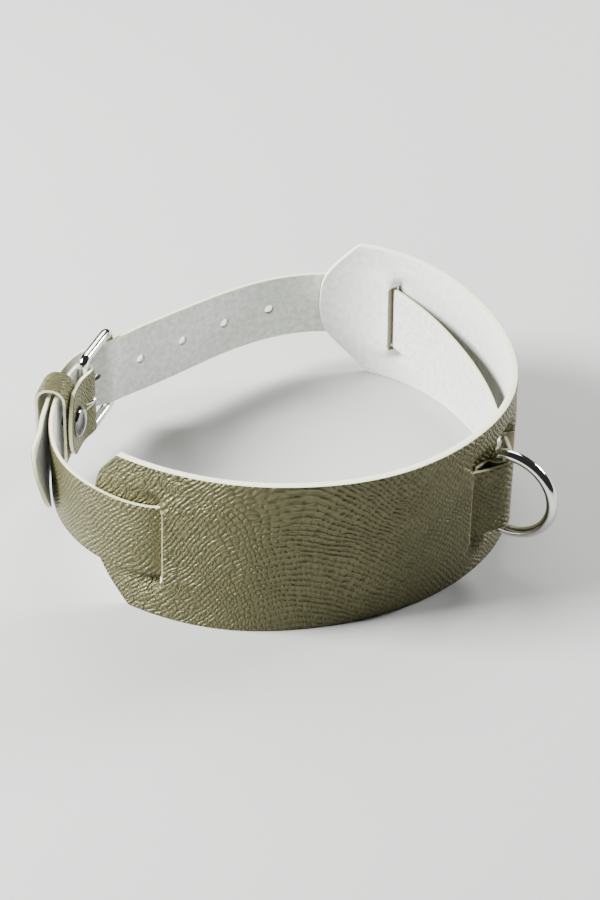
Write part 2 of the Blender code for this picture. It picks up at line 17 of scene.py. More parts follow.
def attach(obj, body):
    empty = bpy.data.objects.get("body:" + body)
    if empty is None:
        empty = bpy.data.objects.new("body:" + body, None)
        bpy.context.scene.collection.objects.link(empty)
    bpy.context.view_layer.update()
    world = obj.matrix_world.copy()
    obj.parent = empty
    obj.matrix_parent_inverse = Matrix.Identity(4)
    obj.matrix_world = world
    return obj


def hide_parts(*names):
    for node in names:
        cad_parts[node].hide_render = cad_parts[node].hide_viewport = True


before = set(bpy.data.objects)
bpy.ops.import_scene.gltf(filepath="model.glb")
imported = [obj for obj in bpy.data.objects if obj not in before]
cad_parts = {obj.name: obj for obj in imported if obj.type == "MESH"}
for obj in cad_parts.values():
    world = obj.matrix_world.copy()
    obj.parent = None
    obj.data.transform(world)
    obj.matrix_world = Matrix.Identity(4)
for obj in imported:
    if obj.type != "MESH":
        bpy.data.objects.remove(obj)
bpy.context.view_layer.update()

MM = 0.001

# ---- sizes, as in the solids ----

# Plan of the panel's outer face at the table, and how far its wall leans out at the top.
RING_PLAN = (
    # bearing_deg, radius_mm, lean_deg
    (0, 69.5, -1.0),
    (24, 69.0, -1.0),
    (48, 60.5, -1.0),
    (72, 56.5, -1.0),
    (96, 60.5, -1.5),
    (120, 62.5, -2.5),
    (144, 63.0, -4.0),
    (168, 59.0, -5.0),
    (192, 55.0, -4.5),
    (216, 52.0, -2.0),
    (240, 52.5, 0.0),
    (264, 55.5, 0.0),
    (288, 59.0, 0.0),
    (312, 61.5, -0.5),
    (336, 65.0, -1.0),
)
RING_CENTRE = (-6.72 * MM, 5.1 * MM)
D_RING_BEARING = 278.0

PANEL = 2.0 * MM
STRAP = 1.2 * MM
GAP = 0.3 * MM
PANEL_LENGTH = 238.0 * MM  # along its outer face at the table; about 232 mm through its middle
PANEL_HEIGHT = 43.4 * MM
CORNER_STARTS = (
    # height off the middle where a corner's slant begins, in mm: lower corner, upper corner
    (10.4, 14.4),
    (7.5, 10.4),
)
CORNER_SLOPE = 1.08
CORNER_ROUND = 4.0 * MM
PANEL_END_REACH = 20.0 * MM
STRAP_WIDTH = 20.0 * MM
STRAP_MID = PANEL_HEIGHT / 2
HALF_STRAP = STRAP_WIDTH / 2
TIP_RADIUS = 12.5 * MM
TIP_REACH = 8.0 * MM

LEFT_SLIT = 96.9 * MM
RIGHT_SLIT = 95.0 * MM
INNER_SLIT = 11.0 * MM
SLITS = (
    # along, which way the edge after it is pushed, how far the edge over the strap stands out
    # of the panel's face and the edge under the strap behind it, how fast that fades, and how
    # far in the strap dives across the slit, in mm
    (-LEFT_SLIT, 1, 1.0, 3.0, 6.0, 0.0),
    (-INNER_SLIT, -1, 1.0, 3.0, 6.0, 0.0),
    (INNER_SLIT, 1, 1.0, 3.0, 6.0, 0.0),
    (RIGHT_SLIT, -1, 1.6, 1.6, 9.0, 1.4),
)
SLIT_HALF_WIDTH = 0.7 * MM
SLIT_SIDES = [slit + side * SLIT_HALF_WIDTH for slit, *_ in SLITS for side in (-1, 1)]
SLIT_HALF_HEIGHT = 10.5 * MM
PUSH_END = 16.0 * MM
PUSH_WIDENS = 0.8
SPREAD_MIDDLE = 9.0 * MM
INNER_BOW = 5.0 * MM
BOW_FULLNESS = 0.8
OUTSIDE = STRAP / 2 + GAP
INSIDE = -PANEL - GAP - STRAP / 2

D_WIRE = 1.5 * MM
D_OUT = 0.3 * MM
D_HALF_HEIGHT = 11.8 * MM
D_DEPTH = 16.15 * MM
D_CORNER = 2.2 * MM
TAB = 1.0 * MM
TAB_FOOT = 3.1 * MM
TAB_REACH = 7.0 * MM
TAB_TURN = D_WIRE + GAP + TAB / 2
TENT_TURN = D_WIRE + 2 * GAP + TAB + STRAP / 2

BAR_ALONG = -178.0 * MM
BAR_OUT = -1.5 * MM
BUCKLE_WIRE = 1.5 * MM
FAR_BAR_ALONG = -194.2 * MM
FAR_BAR_OUT = 3.45 * MM
FRAME_HALF_HEIGHT = 12.1 * MM
FRAME_CORNER = 2.0 * MM
FAR_CORNER = 3.0 * MM
FOLD_TURN = BUCKLE_WIRE + GAP + STRAP / 2
FOLD_END = -159.5 * MM
FOLD_OUT = -3.25 * MM
FOLD_LEVEL = -171.0 * MM
SLOT_END = -174.0 * MM
SLOT_HALF_HEIGHT = 1.15 * MM
RIVET_ALONG = -166.5 * MM
RIVET_CAP = 4.3 * MM
RIVET_DOME = 1.6 * MM
RIVET_POST = 1.5 * MM
RIVET_BACK = 3.5 * MM
RIVET_BACK_THICK = 0.4 * MM
RIVET_RIM = 0.25 * MM
PRONG = 0.75 * MM
PRONG_TIP = 2.6 * MM
HOLE_RADIUS = 1.4 * MM
HOLE_PITCH = 14.9 * MM
FREE_HOLES = 4
FIRST_FREE_HOLE = -202.8 * MM
BUCKLED_HOLE = -185.8 * MM
BUCKLED_HOLE_STRETCH = 2.6
COVERED_HOLE = -170.8 * MM
KEEPER_FROM = -170.0 * MM
KEEPER_TO = -161.0 * MM
KEEPER_WALL = STRAP
KEEPER_IN = -1.1 * MM
KEEPER_OUT = 5.4 * MM
KEEPER_HALF_HEIGHT = 12.0 * MM
KEEPER_CORNER = 3.0 * MM

# The strap's free end: it runs inside the far bar, over the near one and through the keeper.
FREE_END = (
    # along_mm, out_mm, lean_deg
    (-194.0, 0.9, 0.5),
    (-192.3, 1.0, 0.3),
    (-190.5, 1.6, 0.2),
    (-188.7, 2.4, 0.1),
    (-187.0, 3.1, 0.0),
    (-185.3, 3.6, 0.0),
    (-183.5, 3.95, 0.0),
    (-181.5, 4.15, 0.0),
    (-178.0, 4.15, 0.0),
    (-173.0, 4.0, 0.0),
    (-169.0, 3.6, 0.0),
    (-165.0, 3.2, 0.0),
    (-161.0, 2.9, 0.5),
    (-154.0, 3.0, 2.5),
    (-146.4, 3.3, 6.0),
    (-141.0, 4.35, 11.0),
    (-135.5, 5.8, 15.0),
)

# How far the strap's top leans out past the ring's own lean, where no panel is under it.
STRAP_LEAN = (
    # along_mm, lean_deg
    (-178.0, 0.0),
    (-160.0, 0.5),
    (-140.0, 2.0),
    (-128.0, 1.5),
    (-118.0, 0.0),
    (120.0, 0.0),
    (150.0, 2.0),
    (165.0, 4.0),
    (178.0, 4.5),
    (184.0, 2.5),
    (188.0, 0.5),
)

# ---- sizes of the finish ----

STEP = 0.9 * MM  # between a leather piece's columns and rows
EDGE_ROUND = 0.22 * MM  # how far a cut edge's corners are worn round
TAB_EDGE_ROUND = 0.15 * MM
SMOOTH_BELOW = radians(50)  # edges sharper than this show as edges
RIPPLE = 0.28 * MM  # unevenness of the panel's free edges
CORNER_PIECES = 8
D_ARC_PIECES = 48
FRAME_STEP = 2 * MM
WIRE_SIDES, PRONG_SIDES = 20, 14
RIVET_STEPS = 48
END_TURNS = (30, 55, 75)  # degrees, the rings of an open wire's rounded end
END_REACH = 0.8  # how far such an end stands out, in radii
FIBRE_LENGTH = 0.55 * MM
FIBRE_THICK = 0.05 * MM
FIBRES_FROM = 1.0 * MM  # none grow below this height
PANEL_FIBRES, STRAP_FIBRES = 3.2e6, 1.6e6  # to the square metre, where they are thickest
TUFT_SCALE = 260.0  # to the metre
FIBRE_TILT = (1.1, 1.1, 3.1)  # radians, the most that a fibre turns about each axis
SHORTEST_FIBRE = 0.35

# the last slot holds the right slit's lips, coloured dark as painted shade
GRAIN, SUEDE, CUT_EDGE, LIP, PAINTED_SHADE_LIP = 0, 1, 2, 3, 4  # a leather piece's material slots


# ---- the ring's line ----


def drawn_in(end, level):
    """How far a slanted corner draws the panel's end in, at a height off its middle."""
    start = CORNER_STARTS[end > 0][level > 0] * MM
    past = abs(level) - start
    slant = past + hypot(past, CORNER_ROUND) + start - hypot(start, CORNER_ROUND)
    return slant * CORNER_SLOPE / 2


def spline(places, values, period=None):
    """A smooth curve through values at places: a natural cubic, or a closed one of this period."""
    x, y = np.asarray(places, float), np.asarray(values, float)
    if period is not None:
        x, y = np.append(x, x[0] + period), np.append(y, y[0])
    count = len(x)
    step = np.diff(x)
    slope = np.diff(y) / step
    system = np.zeros((count, count))
    right = np.zeros(count)
    for i in range(1, count - 1):
        system[i, i - 1 : i + 2] = step[i - 1], 2 * (step[i - 1] + step[i]), step[i]
        right[i] = 6 * (slope[i] - slope[i - 1])
    system[0, 0] = system[-1, -1] = 1
    if period is not None:
        system[0, -1] = -1
        system[-1, :2] = 2 * step[0], step[0]
        system[-1, -2:] = step[-1], 2 * step[-1]
        right[-1] = 6 * (slope[0] - slope[-1])
    bend = np.linalg.solve(system, right)

    def at(place):
        p = np.asarray(place, float)
        if period is not None:
            p = (p - x[0]) % period + x[0]
        i = np.clip(np.searchsorted(x, p, side="right") - 1, 0, count - 2)
        a = (x[i + 1] - p) / step[i]
        b = (p - x[i]) / step[i]
        curve = (a**3 - a) * bend[i] + (b**3 - b) * bend[i + 1]
        return a * y[i] + b * y[i + 1] + curve * step[i] ** 2 / 6

    return at


def ring_line():
    """The panel's outer face at the table as evenly measured points, with normals and leans."""
    bearing, radius, lean = (np.array(column) for column in zip(*RING_PLAN))
    radius_at = spline(bearing, radius * MM, 360.0)
    lean_at = spline(bearing, lean, 360.0)
    turn = np.linspace(0, 360, 1441) + D_RING_BEARING
    angle = np.radians(turn)
    r = radius_at(turn)
    x = RING_CENTRE[0] + r * np.cos(angle)
    y = RING_CENTRE[1] + r * np.sin(angle)
    along = np.append(0, np.cumsum(np.hypot(np.diff(x), np.diff(y))))
    tangent = np.stack([np.gradient(x, along), np.gradient(y, along)], 1)
    tangent[0] = tangent[-1] = tangent[0] + tangent[-1]
    tangent /= np.linalg.norm(tangent, axis=1)[:, None]
    return along, np.stack([x, y], 1), tangent, lean_at(turn)


ALONG, LINE, TANGENT, LEAN = ring_line()
ROUND = ALONG[-1]


def on_ring(along):
    """Position, tangent, outward normal and lean of the panel's face at one place along it."""
    s = along % ROUND
    point = Vector([np.interp(s, ALONG, LINE[:, k]) for k in (0, 1)])
    tangent = Vector([np.interp(s, ALONG, TANGENT[:, k]) for k in (0, 1)]).normalized()
    normal = Vector((tangent.y, -tangent.x))
    return point, tangent, normal, tan(radians(np.interp(s, ALONG, LEAN)))


def place(along, height, out):
    """A point in space from its place along the ring, its height and how far out it lies."""
    point, _, normal, lean = on_ring(along)
    spot = point + normal * (out + height * lean)
    return Vector((spot.x, spot.y, height))


def push(along, level):
    """How far the slits push the panel out of its face, at a height level above its middle."""
    fade = max(0.0, min(1.0, (PUSH_END - abs(level)) / (PUSH_END - SLIT_HALF_HEIGHT)))
    fade = sin(fade * pi / 2) ** 2
    half = SLIT_HALF_WIDTH + max(0.0, abs(level) - SLIT_HALF_HEIGHT) * PUSH_WIDENS
    total = 0.0
    for slit, after, raised, sunk, spread, _ in SLITS:
        away = along - slit
        cross = after * sin(max(-1.0, min(1.0, away / half)) * pi / 2)
        if abs(slit) == INNER_SLIT and abs(along) < INNER_SLIT:
            spread = SPREAD_MIDDLE / MM
        swing = (raised - sunk + (raised + sunk) * cross) / 2
        total += swing * MM * exp(-max(0.0, abs(away) - half) / (spread * MM))
    return fade * total


def slit_level(along):
    """Of the slit nearest to a place: where it is, the strap's level midway, and its row's rest."""
    slit, _, raised, sunk, _, dive = min(SLITS, key=lambda row: abs(row[0] - along))
    level = -PANEL / 2 + (raised - sunk) * MM / 2
    return abs(slit), level, raised * MM, sunk * MM, dive * MM


def tent(along):
    """The strap's middle over the D-ring: straight legs from the slits, round over the bar."""
    _, level, *_ = slit_level(along)
    rise = D_OUT - level
    slope = atan2(rise, INNER_SLIT) + asin(TENT_TURN / hypot(INNER_SLIT, rise))
    distance = abs(along)
    if distance < TENT_TURN * sin(slope):
        return D_OUT + sqrt(TENT_TURN**2 - distance**2)
    return level + (INNER_SLIT - distance) * tan(slope)


def strap_out(along):
    """How far out the strap's middle lies on its way through the slits."""
    distance = abs(along)
    if distance < INNER_SLIT:
        return tent(along)
    slit, level, raised, sunk, dive = slit_level(along)
    past = distance - slit
    if abs(past) < SLIT_HALF_WIDTH - 1e-9:
        return level + dive * past / SLIT_HALF_WIDTH / 2
    if slit > INNER_SLIT and past > 0:
        return OUTSIDE + push(along, 0) * (OUTSIDE - level - dive / 2) / sunk
    outer = RIGHT_SLIT if along > 0 else LEFT_SLIT
    bow = sin(pi * (distance - INNER_SLIT) / (outer - INNER_SLIT)) ** BOW_FULLNESS
    return INSIDE + push(along, 0) * (level - dive / 2 - INSIDE) / raised - INNER_BOW * bow


def free_end():
    """Functions of a place along: how far out the strap's free end lies, and its lean."""
    along, out, lean = (np.array(column) for column in zip(*FREE_END))
    return spline(ROUND + along * MM, out * MM), spline(ROUND + along * MM, np.radians(lean))


def strap_lean(along):
    """Tangent of the strap's lean past the ring's own."""
    places, leans = zip(*STRAP_LEAN)
    return tan(radians(np.interp(along / MM, places, leans)))


FREE_FROM, FREE_TO = (ROUND + FREE_END[k][0] * MM for k in (0, -1))
FREE_OUT, FREE_LEAN = free_end()


# ---- finishes ----


class Shade:
    """A number or vector that varies over a surface, so that shader maths reads as sums."""

    def __init__(self, nodes, socket):
        self.nodes = nodes
        self.socket = socket

    def _with(self, operation, other, swapped=False):
        first, second = (other, self) if swapped else (self, other)
        return self.nodes.node("ShaderNodeMath", {"operation": operation}, {0: first, 1: second})

    __add__ = __radd__ = partialmethod(_with, "ADD")
    __sub__ = partialmethod(_with, "SUBTRACT")
    __rsub__ = partialmethod(_with, "SUBTRACT", swapped=True)
    __mul__ = __rmul__ = partialmethod(_with, "MULTIPLY")
    __truediv__ = partialmethod(_with, "DIVIDE")
    __pow__ = partialmethod(_with, "POWER")
    top = partialmethod(_with, "MAXIMUM")


class Nodes:
    """A tree's nodes, each made with its settings and whatever feeds it."""

    def __init__(self, tree):
        self.tree = tree

    def node(self, kind, settings=None, inputs=None, output=0):
        """A node of this type: its settings first, then its sockets' values or links."""
        made = self.tree.nodes.new(kind)
        for key, value in (settings or {}).items():
            setattr(made, key, value)
        for key, value in (inputs or {}).items():
            self.feed(made.inputs[key], value)
        return Shade(self, made.outputs[output])

    def feed(self, socket, value):
        if isinstance(value, Shade):
            self.tree.links.new(value.socket, socket)
        elif value is not None:
            socket.default_value = value


class Paint(Nodes):
    """One material and the nodes that it is painted with."""

    def __init__(self, name):
        self.material = bpy.data.materials.new(name)
        self.material.use_nodes = True
        super().__init__(self.material.node_tree)
        self.shader = self.tree.nodes["Principled BSDF"]

    def pattern(self):
        """The flat pattern's own coordinates, in millimetres."""
        return self.scaled(self.node("ShaderNodeUVMap", {"uv_map": "pattern"}), 1000.0)

    def scaled(self, vector, by):
        by = (by, by, by) if isinstance(by, (int, float)) else by
        return self.node("ShaderNodeVectorMath", {"operation": "MULTIPLY"}, {0: vector, 1: by})

    def moved(self, vector, by):
        return self.node("ShaderNodeVectorMath", {"operation": "ADD"}, {0: vector, 1: by})

    def parts_of(self, vector):
        split = self.node("ShaderNodeSeparateXYZ", None, {0: vector})
        return [Shade(self, part) for part in split.socket.node.outputs]

    def joined(self, x, y, z=0.0):
        return self.node("ShaderNodeCombineXYZ", None, {0: x, 1: y, 2: z})

    def noise(self, vector, scale, detail, roughness, output=0):
        inputs = {"Vector": vector, "Scale": scale, "Detail": detail, "Roughness": roughness}
        return self.node("ShaderNodeTexNoise", None, inputs, output)

    def shaken(self, vector, scale, reach):
        """How far noise of this scale moves each place, by reach from end to end."""
        centred = self.moved(self.noise(vector, scale, 1.0, 0.5, output=1), (-0.5, -0.5, 0))
        return self.scaled(centred, reach)

    def cells(self, vector, feature, randomness):
        settings = {"feature": feature, "voronoi_dimensions": "2D"}
        inputs = {"Vector": vector, "Scale": 1.0, "Randomness": randomness}
        return self.node("ShaderNodeTexVoronoi", settings, inputs)

    def between(self, value, low, high):
        """0 at low, 1 at high, smoothly."""
        settings = {"interpolation_type": "SMOOTHSTEP"}
        inputs = {"Value": value, "From Min": low, "From Max": high}
        return self.node("ShaderNodeMapRange", settings, inputs)

    def mixed(self, share, first, second):
        low, high = ((*end, 1) if isinstance(end, tuple) else end for end in (first, second))
        inputs = {"Factor": share, 6: low, 7: high}
        return self.node("ShaderNodeMix", {"data_type": "RGBA"}, inputs, output=2)

    def bump(self, height, distance):
        inputs = {"Height": height, "Distance": distance, "Strength": 1.0}
        return self.node("ShaderNodeBump", None, inputs)

    def finish(self, **sockets):
        for name, value in sockets.items():
            value = (*value, 1) if isinstance(value, tuple) and len(value) == 3 else value
            self.feed(self.shader.inputs[name.replace("_", " ")], value)
        return self.material


PEBBLE_ROW = 1.15  # mm between rows of pebbles, and their usual height
PEBBLE_LONG = 1.25
FAN_MIDDLE = -62.0  # mm along, where the rows meet in a chevron
FAN_ROUND = 200.0  # mm^2, how softly they turn there
FAN_SKEW = 0.9  # how far the pebbles turn with their rows
SKEW_ROUND = 900.0  # mm^2, how softly they do
ROW_SCALE, RUN_SCALE = 0.66, 0.76  # keep the pebbles' size where the rows slope
RISE_LEFT, RISE_RIGHT = 1.2, 1.05  # slope of the rows on each side
DEEP_FROM, DEEP_TO = -74.0, -100.0  # mm along, where the wrinkles deepen
LEAST_DEEP = 0.25  # their share of that depth elsewhere
WRINKLE_ROW, WRINKLE_LONG = 2.3, 5.2
DRIFT_SCALE, DRIFT = 0.045, (9.0, 6.0, 0)  # the rows' slow drift: per mm, and mm
WANDER_SCALE, WANDER = 0.35, (1.3, 0.9, 0)  # each pebble's own
PEBBLE_CHANCE, WRINKLE_CHANCE = 0.6, 0.9  # how irregular they are
GRAIN_DEPTH = 0.45 * MM
# painted shade: how dark the grain's valleys and creases are coloured, as a share of the tone
VALLEY_SHADE_TONE = 0.72


def shaded(tone, by):
    """A tone made this many times as light."""
    return tuple(part * by for part in tone)


def gold_grain(name, fan_middle=FAN_MIDDLE, tone=(0.120, 0.115, 0.048), shine=0.34):
    """Champagne gold film over rows of joined pebbles, with deeper wrinkles at one end."""
    paint = Paint(name)
    flat = paint.pattern()
    drift = paint.shaken(flat, DRIFT_SCALE, DRIFT)
    wander = paint.shaken(flat, WANDER_SCALE, WANDER)
    x, y, _ = paint.parts_of(paint.moved(paint.moved(flat, drift), wander))
    side = x - fan_middle
    bend = (side * side + FAN_ROUND) ** 0.5
    turn = side / bend
    mean, lean = (RISE_LEFT + RISE_RIGHT) / 2, (RISE_LEFT - RISE_RIGHT) / 2
    rows = (y + bend * (mean - turn * lean)) * ROW_SCALE
    wide_turn = side / (side * side + SKEW_ROUND) ** 0.5
    run = (x - y * wide_turn * FAN_SKEW) * RUN_SCALE
    pebbles = paint.joined(run / PEBBLE_LONG, rows / PEBBLE_ROW)
    gap = paint.cells(pebbles, "DISTANCE_TO_EDGE", PEBBLE_CHANCE)
    dome = paint.cells(pebbles, "F1", PEBBLE_CHANCE)
    swell = paint.between(gap, 0.0, 0.3) * 0.7 + (1.0 - dome).top(0.0) * 0.3
    from_row = {0: rows / PEBBLE_ROW + 0.5, 1: 0.5}
    groove = paint.node("ShaderNodeMath", {"operation": "PINGPONG"}, from_row)
    ridge = paint.between(groove, 0.0, 0.42)
    wrinkles = paint.joined(run / WRINKLE_LONG, rows / WRINKLE_ROW)
    wrinkle_gap = paint.cells(wrinkles, "DISTANCE_TO_EDGE", WRINKLE_CHANCE)
    crease = paint.between(wrinkle_gap, 0.0, 0.15)
    deep = paint.between(x * -1.0, -DEEP_FROM, -DEEP_TO) * (1 - LEAST_DEEP) + LEAST_DEEP
    pores = paint.noise(flat, 4.0, 2.0, 0.6)
    relief = swell * 0.5 + ridge * 0.5
    height = relief + (crease - 1.0) * deep * 0.6 + pores * 0.12
    worn = paint.noise(flat, 0.09, 3.0, 0.6)
    # Painted shade: the pebbles' valleys and the wrinkles' creases are coloured darker than the
    # tops; the same share also makes the valleys rougher.
    valley = paint.between(relief + (crease - 1.0) * deep * 0.4, 0.1, 0.75)
    film = paint.mixed(worn, shaded(tone, 0.9), shaded(tone, 1.1))
    colour = paint.mixed(valley, shaded(tone, VALLEY_SHADE_TONE), film)
    return paint.finish(
        Base_Color=colour,
        Roughness=shine + 0.12 - valley * 0.12 + pores * 0.08,
        Metallic=0.5,
        Normal=paint.bump(height, GRAIN_DEPTH),
    )


def suede(name, tone=(0.80, 0.825, 0.785), mottle=0.10):
    """The off-white back: a short nap that is lighter and darker in soft patches."""
    paint = Paint(name)
    flat = paint.pattern()
    patches = paint.noise(flat, 0.55, 4.0, 0.65)
    nap = paint.noise(flat, 3.4, 3.0, 0.7)
    share = paint.between(patches * 0.65 + nap * 0.35, 0.32, 0.68)
    colour = paint.mixed(share, shaded(tone, 1 - mottle * 2.2), tone)
    return paint.finish(
        Base_Color=colour,
        Roughness=0.93,
        Normal=paint.bump(patches * 0.5 + nap * 0.6, 0.16 * MM),
        Sheen_Weight=0.25,
        Sheen_Roughness=0.5,
        Specular_IOR_Level=0.2,
    )


def cut_edge(name, tone=(0.86, 0.84, 0.66)):
    """The cream core that a knife has opened: fine layers along it, and slight drag marks."""
    paint = Paint(name)
    spot = paint.node("ShaderNodeTexCoord", output=3)
    grit = paint.noise(paint.scaled(spot, 1000.0), 2.2, 3.0, 0.7)
    drag = paint.noise(paint.scaled(spot, (900.0, 900.0, 4000.0)), 0.8, 2.0, 0.6)
    colour = paint.mixed(paint.between(grit, 0.3, 0.7), shaded(tone, 0.86), tone)
    normal = paint.bump(grit + drag * 0.6, 0.10 * MM)
    return paint.finish(Base_Color=colour, Roughness=0.85, Normal=normal, Specular_IOR_Level=0.25)


def nickel(name, dull=(0.66, 0.655, 0.63), bright=(0.78, 0.775, 0.755)):
    """Polished nickel plate with faint buffing haze and hairlines."""
    paint = Paint(name)
    spot = paint.scaled(paint.node("ShaderNodeTexCoord", output=3), 1000.0)
    haze = paint.noise(spot, 0.35, 3.0, 0.6)
    scratches = paint.noise(paint.scaled(spot, (0.4, 0.4, 9.0)), 1.6, 2.0, 0.8)
    colour = paint.mixed(haze, dull, bright)
    rough = haze * 0.10 + paint.between(scratches, 0.62, 0.8) * 0.12 + 0.05
    normal = paint.bump(haze, 0.04 * MM)
    return paint.finish(Base_Color=colour, Roughness=rough, Metallic=1.0, Normal=normal)


# ---- leather pieces ----


def stations(start, end, marks, widest):
    """Places from start to end through the marks, with no step wider than widest."""
    fixed = sorted({round(m, 7) for m in marks if start < m < end} | {start, end})
    places = [fixed[0]]
    for a, b in zip(fixed, fixed[1:]):
        count = max(1, ceil((b - a) / widest - 1e-6))
        places += [a + (b - a) * (k + 1) / count for k in range(count)]
    return places


def both_ways(top, marks):
    """Levels from top below the middle to top above it, alike on both sides."""
    above = stations(0.0, top, marks, STEP)
    return [-level for level in reversed(above[1:])] + above


def running(spans):
    """The running total of these spans, from zero."""
    return list(itertools.accumulate(spans, initial=0.0))


def run_lengths(points):
    """How far along a line of points each one is, measured in space."""
    return running((b - a).length for a, b in zip(points, points[1:]))


def as_object(name, mesh, finishes, smooth=True, smooth_below=SMOOTH_BELOW):
    """The finished mesh as an object in the scene, with its finishes in their slots."""
    data = bpy.data.meshes.new(name)
    mesh.to_mesh(data)
    mesh.free()
    if smooth:
        data.shade_smooth()
        if smooth_below is not None:
            data.set_sharp_from_angle(angle=smooth_below)
    piece = bpy.data.objects.new(name, data)
    bpy.context.scene.collection.objects.link(piece)
    for finish in finishes:
        data.materials.append(finish)
    return piece


def settle(piece):
    """Applies a piece's modifiers."""
    depsgraph = bpy.context.evaluated_depsgraph_get()
    data = bpy.data.meshes.new_from_object(piece.evaluated_get(depsgraph))
    old = piece.data
    piece.modifiers.clear()
    piece.data = data
    bpy.data.meshes.remove(old)
    data.name = piece.name


def nowhere(*_):
    return False


def leather_sheet(
    name, middle, flat, thickness, finishes, is_open=nowhere, is_lip=nowhere, worn=EDGE_ROUND
):
    """A closed sheet of leather on a grid of middle points, middle[column][row].

    flat holds each grid point's place on the flat pattern. The outside gets the grain, the
    inside the suede, and every rim the cut edge. A rim's corners are worn round, the outer one
    in the grain and the inner one in the cut edge's finish. is_open says which cells are left
    out, and is_lip which places on the pattern are a slit's lips, which have their own finish.
    """
    columns, rows = len(middle), len(middle[0])
    mesh = bmesh.new()
    bmesh.ops.create_grid(mesh, x_segments=columns - 1, y_segments=rows - 1, size=1)
    mesh.verts.ensure_lookup_table()
    spot = mesh.verts.layers.int.new("spot")
    pattern = mesh.loops.layers.uv.new("pattern")
    for index, vert in enumerate(mesh.verts):
        vert.co = middle[index % columns][index // columns]
        vert[spot] = index
    mesh.faces.ensure_lookup_table()
    across = columns - 1
    cells = [(face, k % across, k // across) for k, face in enumerate(mesh.faces)]
    opened = [face for face, i, j in cells if is_open(i, j)]
    bmesh.ops.delete(mesh, geom=opened, context="FACES")

    def on_pattern(vert):
        return flat[vert[spot] % columns][vert[spot] // columns]

    def lay(face):
        for loop in face.loops:
            loop[pattern].uv = on_pattern(loop.vert)

    for face in mesh.faces:
        lay(face)
    mesh.normal_update()
    away = {}
    for vert in mesh.verts:
        away[vert[spot]] = Vector((vert.normal.x, vert.normal.y, 0)).normalized()
    made = bmesh.ops.extrude_face_region(mesh, geom=mesh.faces[:])
    moved = {item for item in made["geom"] if isinstance(item, bmesh.types.BMVert)}
    for vert in mesh.verts:
        vert.co += away[vert[spot]] * thickness * (0.5 if vert in moved else -0.5)
    bmesh.ops.recalc_face_normals(mesh, faces=mesh.faces)
    for face in mesh.faces:
        outer = sum(vert in moved for vert in face.verts)
        face.material_index = (SUEDE, CUT_EDGE, CUT_EDGE, CUT_EDGE, GRAIN)[outer]
        if face.material_index == CUT_EDGE:
            lay(face)

    def lies_on_lip(edge):
        return all(is_lip(*on_pattern(vert)) for vert in edge.verts)

    def between_finishes(edge):
        return {face.material_index for face in edge.link_faces}

    for side, on_lip in itertools.product((GRAIN, SUEDE), (True, False)):
        rim_finish = CUT_EDGE if side == SUEDE else LIP if on_lip else GRAIN
        rims = [edge for edge in mesh.edges if between_finishes(edge) == {side, CUT_EDGE}]
        bmesh.ops.bevel(
            mesh,
            geom=[edge for edge in rims if lies_on_lip(edge) == on_lip],
            offset=worn,
            offset_type="OFFSET",
            segments=2,
            profile=0.5,
            affect="EDGES",
            clamp_overlap=True,
            material=rim_finish,
        )
    for face in mesh.faces:
        spots = [loop[pattern].uv for loop in face.loops]
        along = sum(uv.x for uv in spots) / len(spots)
        level = sum(uv.y for uv in spots) / len(spots)
        if face.material_index == CUT_EDGE and is_lip(along, level):
            # The right slit's lips get painted shade: a dark olive cut edge, where the other slits
            # keep a cream one.
            face.material_index = PAINTED_SHADE_LIP if along > INNER_SLIT * 2 else LIP
    return as_object(name, mesh, finishes)


def ripple(along, level):
    """Slight unevenness of the panel's free edges, as a hand-cut sheet has when it is bent."""
    free = (abs(level) / STRAP_MID) ** 3
    return free * RIPPLE * sin(along / (17 * MM) + 1.3) * sin(along / (41 * MM))


def wide_panel(finishes):
    """The wide panel with slanted corners and four slits whose lips stand in and out."""
    half = PANEL_LENGTH / 2
    places = stations(-half, half, SLIT_SIDES + [slit for slit, *_ in SLITS], STEP)
    levels = both_ways(STRAP_MID, [SLIT_HALF_HEIGHT, PUSH_END])
    middle, flat = [], []
    for along in places:
        column, cut = [], []
        for level in levels:
            drawn = drawn_in(along, level) * max(0.0, 1 - (half - abs(along)) / PANEL_END_REACH)
            spot = along - copysign(drawn, along)
            out = push(along, level) - PANEL / 2 + ripple(spot, level)
            column.append(place(spot, STRAP_MID + level, out))
            cut.append((spot, level))
        middle.append(column)
        flat.append(cut)

    def in_slit(i, j):
        twice = places[i] + places[i + 1]
        across = any(abs(twice - 2 * slit) < 2 * SLIT_HALF_WIDTH for slit, *_ in SLITS)
        return across and abs(levels[j] + levels[j + 1]) < 2 * SLIT_HALF_HEIGHT

    def at_lip(along, level):
        reach = 2 * EDGE_ROUND
        beside = any(abs(along - slit) < SLIT_HALF_WIDTH + reach for slit, *_ in SLITS)
        return beside and abs(level) < SLIT_HALF_HEIGHT + reach

    return leather_sheet("wide_panel", middle, flat, PANEL, finishes, in_slit, at_lip)


def panel_as_cut():
    """The panel's length through its middle, and its area less its corners and slits."""
    half = PANEL_LENGTH / 2
    line = [place(along, STRAP_MID, -PANEL / 2) for along in stations(-half, half, [], STEP)]
    length = run_lengths(line)[-1]
    rows = [k * STRAP_MID / 50 for k in range(-50, 51)]
    corners = sum(drawn_in(end, row) for end in (-1, 1) for row in rows) / len(rows)
    slits = len(SLITS) * 4 * SLIT_HALF_WIDTH * SLIT_HALF_HEIGHT
    return length, (length - corners) * PANEL_HEIGHT - slits


def eased(start, end, shares):
    """Upright points of a path that leaves one place and reaches another gently."""
    (a, low), (b, high) = start, end
    rises = [(share, sin(share * pi / 2) ** 2) for share in shares]
    return [(a + (b - a) * share, low + (high - low) * rise, 0.0) for share, rise in rises]


